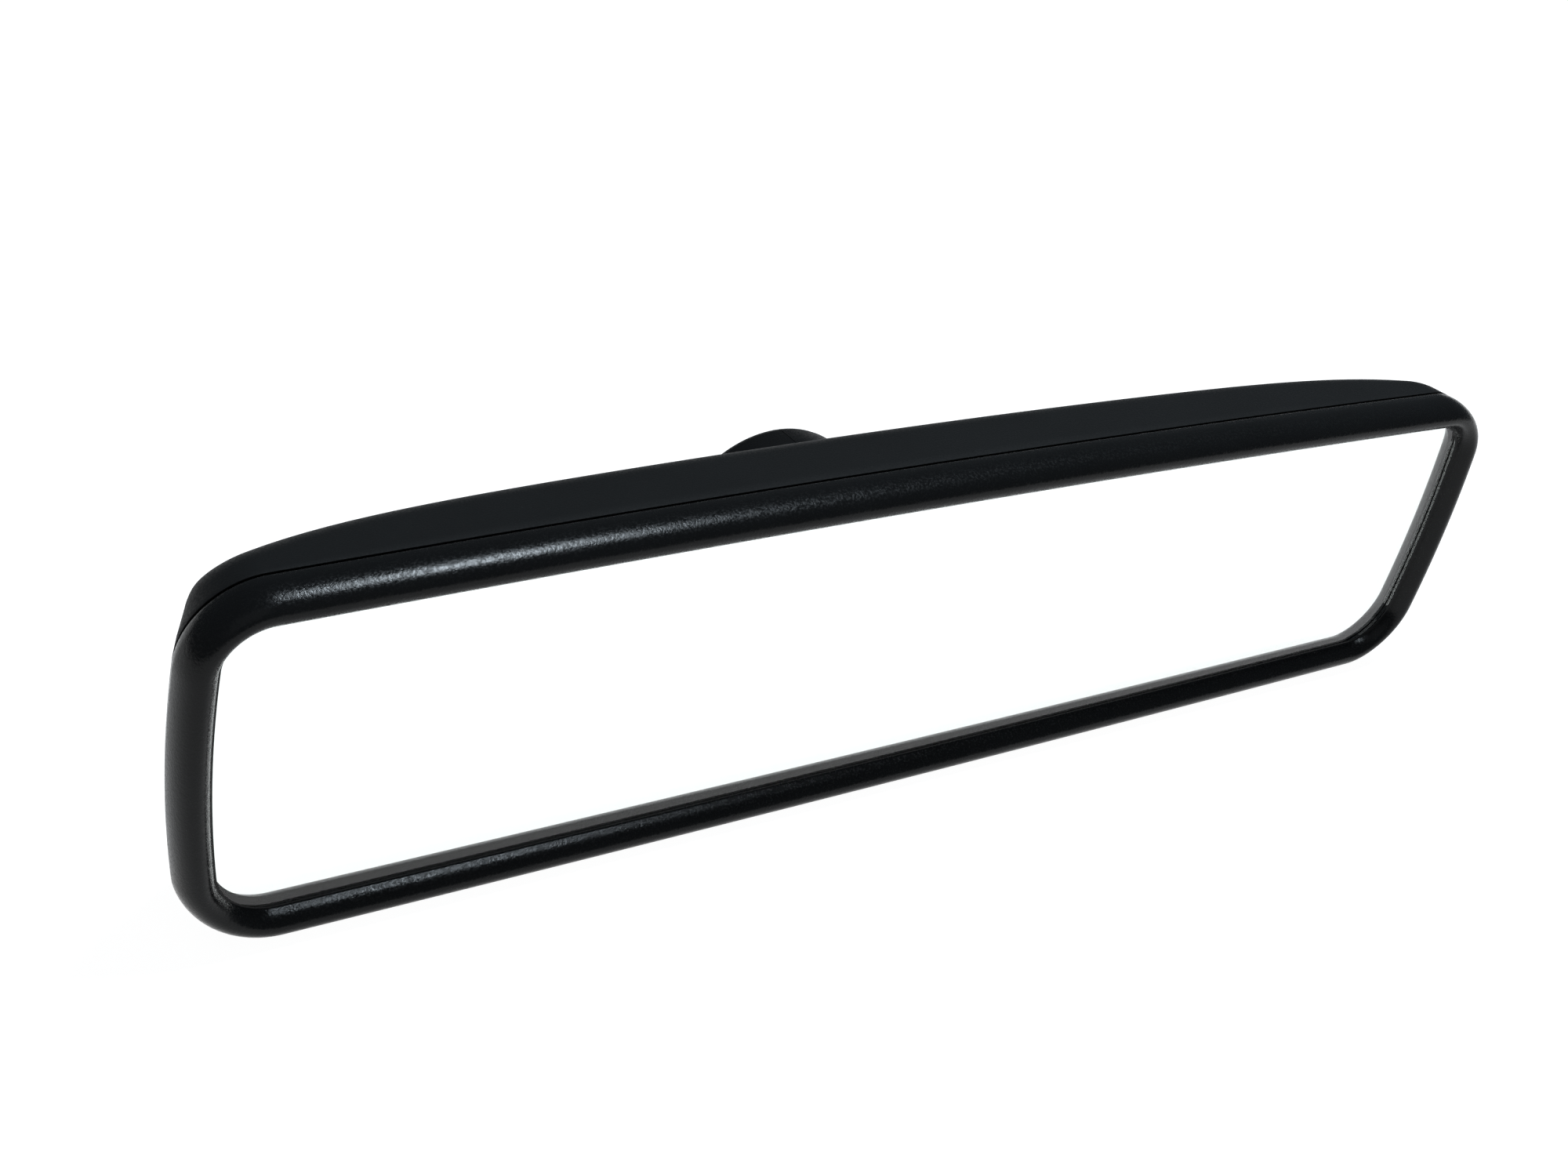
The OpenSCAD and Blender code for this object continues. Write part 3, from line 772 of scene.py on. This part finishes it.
def build_cover(side):
    """One half of the foot cover, with its seam on the middle plane."""
    seam = 0.06 * MM
    rows = cover_profile()
    rings = []
    for a in np.linspace(-math.pi / 2, math.pi / 2, 61):
        rings.append(np.array([
            (side * max(seam, radius * math.cos(a)), depth, radius * math.sin(a) - drop)
            for depth, radius, drop in rows
        ]))
    node = "cover_right" if side > 0 else "cover_left"
    name = node.replace("cover", "cover_skin")
    piece = head_piece(name, capped(rings), COVER_PLASTIC, [node], "base")
    bevel = piece.modifiers.new("soft_edges", "BEVEL")
    bevel.width = 0.18 * MM
    bevel.segments = 2
    bevel.limit_method = "ANGLE"
    bevel.angle_limit = math.radians(50)
    bevel.harden_normals = True


# ---------- metal and inner pieces ----------

def cut(piece, tools):
    """Cuts closed (points, faces) shapes out of a piece."""
    points, faces = join_parts(*tools)
    tool = mesh_object("cutter", np.asarray(points) + np.array(HEAD), faces, piece.data.materials[0])
    difference = piece.modifiers.new("cut", "BOOLEAN")
    difference.operation = "DIFFERENCE"
    difference.solver = "EXACT"
    difference.object = tool
    bpy.context.view_layer.update()
    whole = piece.evaluated_get(bpy.context.evaluated_depsgraph_get())
    mesh = bpy.data.meshes.new_from_object(whole)
    piece.modifiers.clear()
    piece.data = mesh
    shade(mesh)
    bpy.data.objects.remove(tool)


def even_normals(piece):
    """Keeps flat faces looking flat beside rounded edges."""
    even = piece.modifiers.new("even_normals", "WEIGHTED_NORMAL")
    even.keep_sharp = True


def build_foot():
    """Cast foot: snap groove for the cover, spring groove, pocket, tip slots and screw seats."""
    back = SETBACK - FOOT_T
    floor = SETBACK - POCKET_DEPTH
    groove = SETBACK - GROOVE_DEPTH
    ring_low, ring_high = SPRING_R - GROOVE_W / 2, SPRING_R + GROOVE_W / 2
    snap_start = SETBACK - 5.7 * MM
    snap_end = snap_start + 1.4 * MM
    snap_r = FOOT_R - 0.7 * MM
    profile = [
        (FOOT_R - 2 * MM, back),
        (FOOT_R, back),
        (FOOT_R, snap_start),
        (snap_r, snap_start),
        (snap_r, snap_end),
        (FOOT_R, snap_end),
        (FOOT_R, SETBACK),
        (ring_high, SETBACK),
        (ring_high, groove),
        (ring_low, groove),
        (ring_low, SETBACK),
        (POCKET_R, SETBACK),
        (POCKET_R, floor),
        (POCKET_R - 1 * MM, floor),
    ]
    body = lathe(rounded(profile, 0.25 * MM), 0, -DROP)
    foot = head_piece("foot_body_part", body, ZINC, ["foot_body"], "base")
    screw_seat = [
        (SCREW_HOLE_R, back - 1 * MM),
        (SCREW_HOLE_R, floor - SCREW_SINK),
        (SCREW_SEAT_R, floor - SCREW_SINK),
        (SCREW_SEAT_R, floor + 1 * MM),
    ]
    tools = [lathe(screw_seat, x, -DROP, 48) for x in (-ARM_SCREW_X, ARM_SCREW_X)]
    slot_end = groove + 4 * MM
    for angle in (-SPRING_TIP_ANGLE, SPRING_TIP_ANGLE):
        points, faces = block(
            (-GROOVE_W / 2, groove, POCKET_R - 1 * MM), (GROOVE_W / 2, slot_end, SPRING_R), 0.05 * MM
        )
        turn = np.array(Matrix.Rotation(angle, 3, "Y"))
        tools.append((points @ turn.T - np.array((0, 0, DROP)), faces))
    cut(foot, tools)
    even_normals(foot)


def build_arm():
    """Cast arm: boss round the shank, web, and plate behind the foot."""
    plate_end = SETBACK - FOOT_T
    web_w, web_top = 5 * MM, -2 * MM
    boss = drum(ARM_BOSS_R, BOSS_Y, plate_end, 0, 0, 0.5 * MM)
    disc = drum(ARM_PLATE_R, plate_end - ARM_PLATE_T, plate_end, 0, -DROP, 0.3 * MM)
    web = block(
        (-web_w / 2, BOSS_Y + 3.4 * MM, web_top - DROP),
        (web_w / 2, plate_end - 1 * MM, web_top),
        0.4 * MM,
    )
    even_normals(head_piece("arm_part", join_parts(boss, disc, web), ZINC, ["arm"], "base"))


def build_ball_stud():
    """Steel ball with its neck, collar and shank."""
    last = math.pi - math.asin(NECK_R / BALL_R)
    ball = [
        (BALL_R * math.sin(a), BALL_Y - BALL_R * math.cos(a)) for a in np.linspace(0.05, last, 48)
    ]
    collar = BOSS_Y - 1.7 * MM
    shank_end = BOSS_Y + SHANK_LEN
    shank = [
        (NECK_R, BALL_Y - BALL_R * math.cos(last) + 1 * MM),
        (NECK_R, collar),
        (COLLAR_R, collar),
        (COLLAR_R, BOSS_Y),
        (SHANK_R, BOSS_Y),
        (SHANK_R, shank_end),
        (1 * MM, shank_end),
    ]
    stud = lathe(ball + rounded(shank, 0.4 * MM), 0, 0)
    even_normals(head_piece("ball_stud_part", stud, STEEL, ["ball_stud"], "base"))


def dress_cad_nodes(replaced):
    """Gives each CAD node that is still seen its procedural material."""
    for entry in frame["record"]["subparts"]:
        node = entry["node"]
        if node in replaced:
            continue
        mesh = frame["nodes"][node].data
        mesh.materials.clear()
        mesh.materials.append(SLOT_MATERIALS[entry["material_slot"]])


# ---------- studio ----------

def add_floor():
    """A wide white table that the head and the foot rest on."""
    floor_z = cad_low.z - 0.2 * MM
    radius, thickness = 6.0, 10 * MM
    points, faces = drum(radius, -thickness, 0, 0, 0, 2 * MM)
    laid_flat = [(x, z, floor_z + y) for x, y, z in points]
    floor = mesh_object("floor", laid_flat, faces, pale_floor())


def add_lamp(name, aim, direction, distance, size, power, colour):
    """A soft box, size (width, height), that faces its aim from a direction."""
    data = bpy.data.lights.new(name, "AREA")
    data.shape = "RECTANGLE"
    data.size, data.size_y = size
    data.energy = power
    data.color = colour
    lamp = bpy.data.objects.new(name, data)
    bpy.context.scene.collection.objects.link(lamp)
    towards = Vector(direction).normalized()
    across = (Vector((1, 0, 0)) - towards * towards.x).normalized()
    turn = Matrix((across, towards.cross(across), towards)).transposed()
    lamp.matrix_world = Matrix.Translation(aim + towards * distance) @ turn.to_4x4()


def add_world():
    """A dim, cool room for light and reflections; a plain white backdrop to look at."""
    world = bpy.data.worlds.new("studio")
    bpy.context.scene.world = world
    world.use_nodes = True
    n = Nodes(world.node_tree)
    room = n.add("ShaderNodeBackground", {"Color": (*COOL_LIGHT, 1), "Strength": 0.10})
    backdrop = n.add("ShaderNodeBackground", {"Color": (1.0, 1.0, 1.0, 1), "Strength": 1.05})
    seen = n.add("ShaderNodeLightPath").outputs["Is Camera Ray"]
    mix = n.add("ShaderNodeMixShader")
    n.put(mix.inputs[0], seen)
    n.put(mix.inputs[1], room.outputs[0])
    n.put(mix.inputs[2], backdrop.outputs[0])
    out = world.node_tree.nodes["World Output"]
    n.put(out.inputs["Surface"], mix.outputs[0])


def add_lights():
    """A narrow lamp overhead, which draws the highlights, and a broad, weak fill."""
    add_lamp(
        "ceiling_lamp", HEAD, (0.26, 0.03, 0.96),
        distance=1.2, size=(0.12, 0.34), power=12.0, colour=COOL_LIGHT,
    )
    add_lamp(
        "broad_fill", HEAD, (-0.35, -0.55, 0.75),
        distance=1.6, size=(1.2, 1.2), power=1.2, colour=(0.96, 0.98, 1.0),
    )


add_camera()
bpy.context.scene.view_settings.view_transform = "Standard"
add_world()
add_lights()
add_floor()

build_bezel()
build_shell()
build_glass()
for half in (-1, 1):
    build_cover(half)

build_foot()
build_arm()
build_ball_stud()

REPLACED = {
    "bezel", "rear_shell", "mirror_glass", "cover_left", "cover_right", "foot_body", "arm", "ball_stud"
}
dress_cad_nodes(REPLACED)
